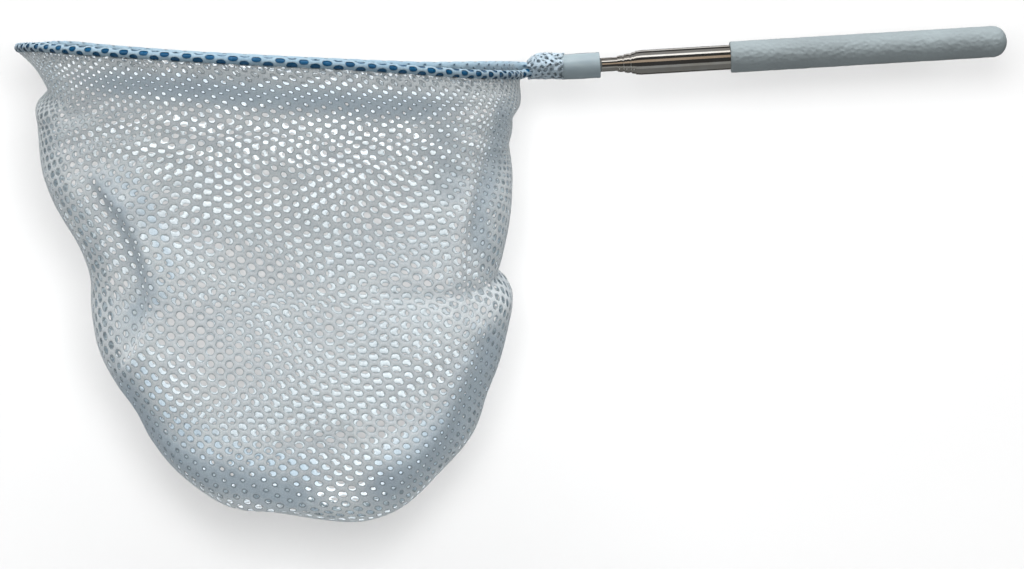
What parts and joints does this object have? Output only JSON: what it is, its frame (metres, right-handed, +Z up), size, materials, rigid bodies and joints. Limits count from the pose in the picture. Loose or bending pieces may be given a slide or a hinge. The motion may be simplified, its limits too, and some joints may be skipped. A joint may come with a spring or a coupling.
{
  "type": "telescopic fish net",
  "caption": "Hand net with a soft grip on a telescopic steel pole, a swivelling coated wire hoop and a hanging hexagonal-mesh bag.",
  "frame": {"origin": "centre of the grip, on the pole's axis", "axes": "+X along the pole out of the grip's closed butt, so the hoop lies towards -X; +Z up with the bag hanging towards -Z; the bag's seam lies in the XZ plane"},
  "size_m": [0.3891, 0.1994, 0.1952],
  "materials": {
    "soft_grip": "pale blue-grey soft-touch skin with a fine leathery grain",
    "plug_plastic": "moulded nylon",
    "bright_steel": "bright drawn stainless steel",
    "spring_bronze": "rolled phosphor bronze sheet",
    "socket_plastic": "satin moulded pale blue plastic",
    "spring_steel": "drawn wire",
    "blue_coating": "smooth extruded vinyl",
    "mesh_fabric": "knitted polyester hexagonal mesh, pale blue-grey",
    "seam_fabric": "sewn polyester edge and thread"
  },
  "bodies": {
    "handle": {"grip": "soft_grip", "end_plug": "plug_plastic", "tube_5": "bright_steel"},
    "stage_4": {"tube_4": "bright_steel", "friction_sleeve_4": "spring_bronze"},
    "stage_3": {"tube_3": "bright_steel", "friction_sleeve_3": "spring_bronze"},
    "stage_2": {"tube_2": "bright_steel", "friction_sleeve_2": "spring_bronze"},
    "stage_1": {"friction_sleeve_1": "spring_bronze"},
    "head": {"tube_1": "bright_steel", "hoop_socket": "socket_plastic", "hoop_core_wire": "spring_steel", "hoop_coating": "blue_coating", "rim_sleeve": "mesh_fabric", "neck_gather": "mesh_fabric", "net_front_panel": "mesh_fabric", "net_back_panel": "mesh_fabric", "side_seam": "seam_fabric", "hem_thread": "seam_fabric"}
  },
  "joints": [
    {"name": "tube_4_slide", "type": "slide", "parent": "handle", "child": "stage_4", "axis": [-1, 0, 0], "range_m": [0, 0.115]},
    {"name": "tube_3_slide", "type": "slide", "parent": "stage_4", "child": "stage_3", "axis": [-1, 0, 0], "range_m": [0, 0.115]},
    {"name": "tube_2_slide", "type": "slide", "parent": "stage_3", "child": "stage_2", "axis": [-1, 0, 0], "range_m": [0, 0.115]},
    {"name": "tube_1_slide", "type": "slide", "parent": "stage_2", "child": "stage_1", "axis": [-1, 0, 0], "range_m": [0, 0.115]},
    {"name": "head_swivel", "type": "hinge", "parent": "stage_1", "child": "head", "pos_m": [-0.1058, 0, 0], "axis": [1, 0, 0], "continuous": true}
  ]
}
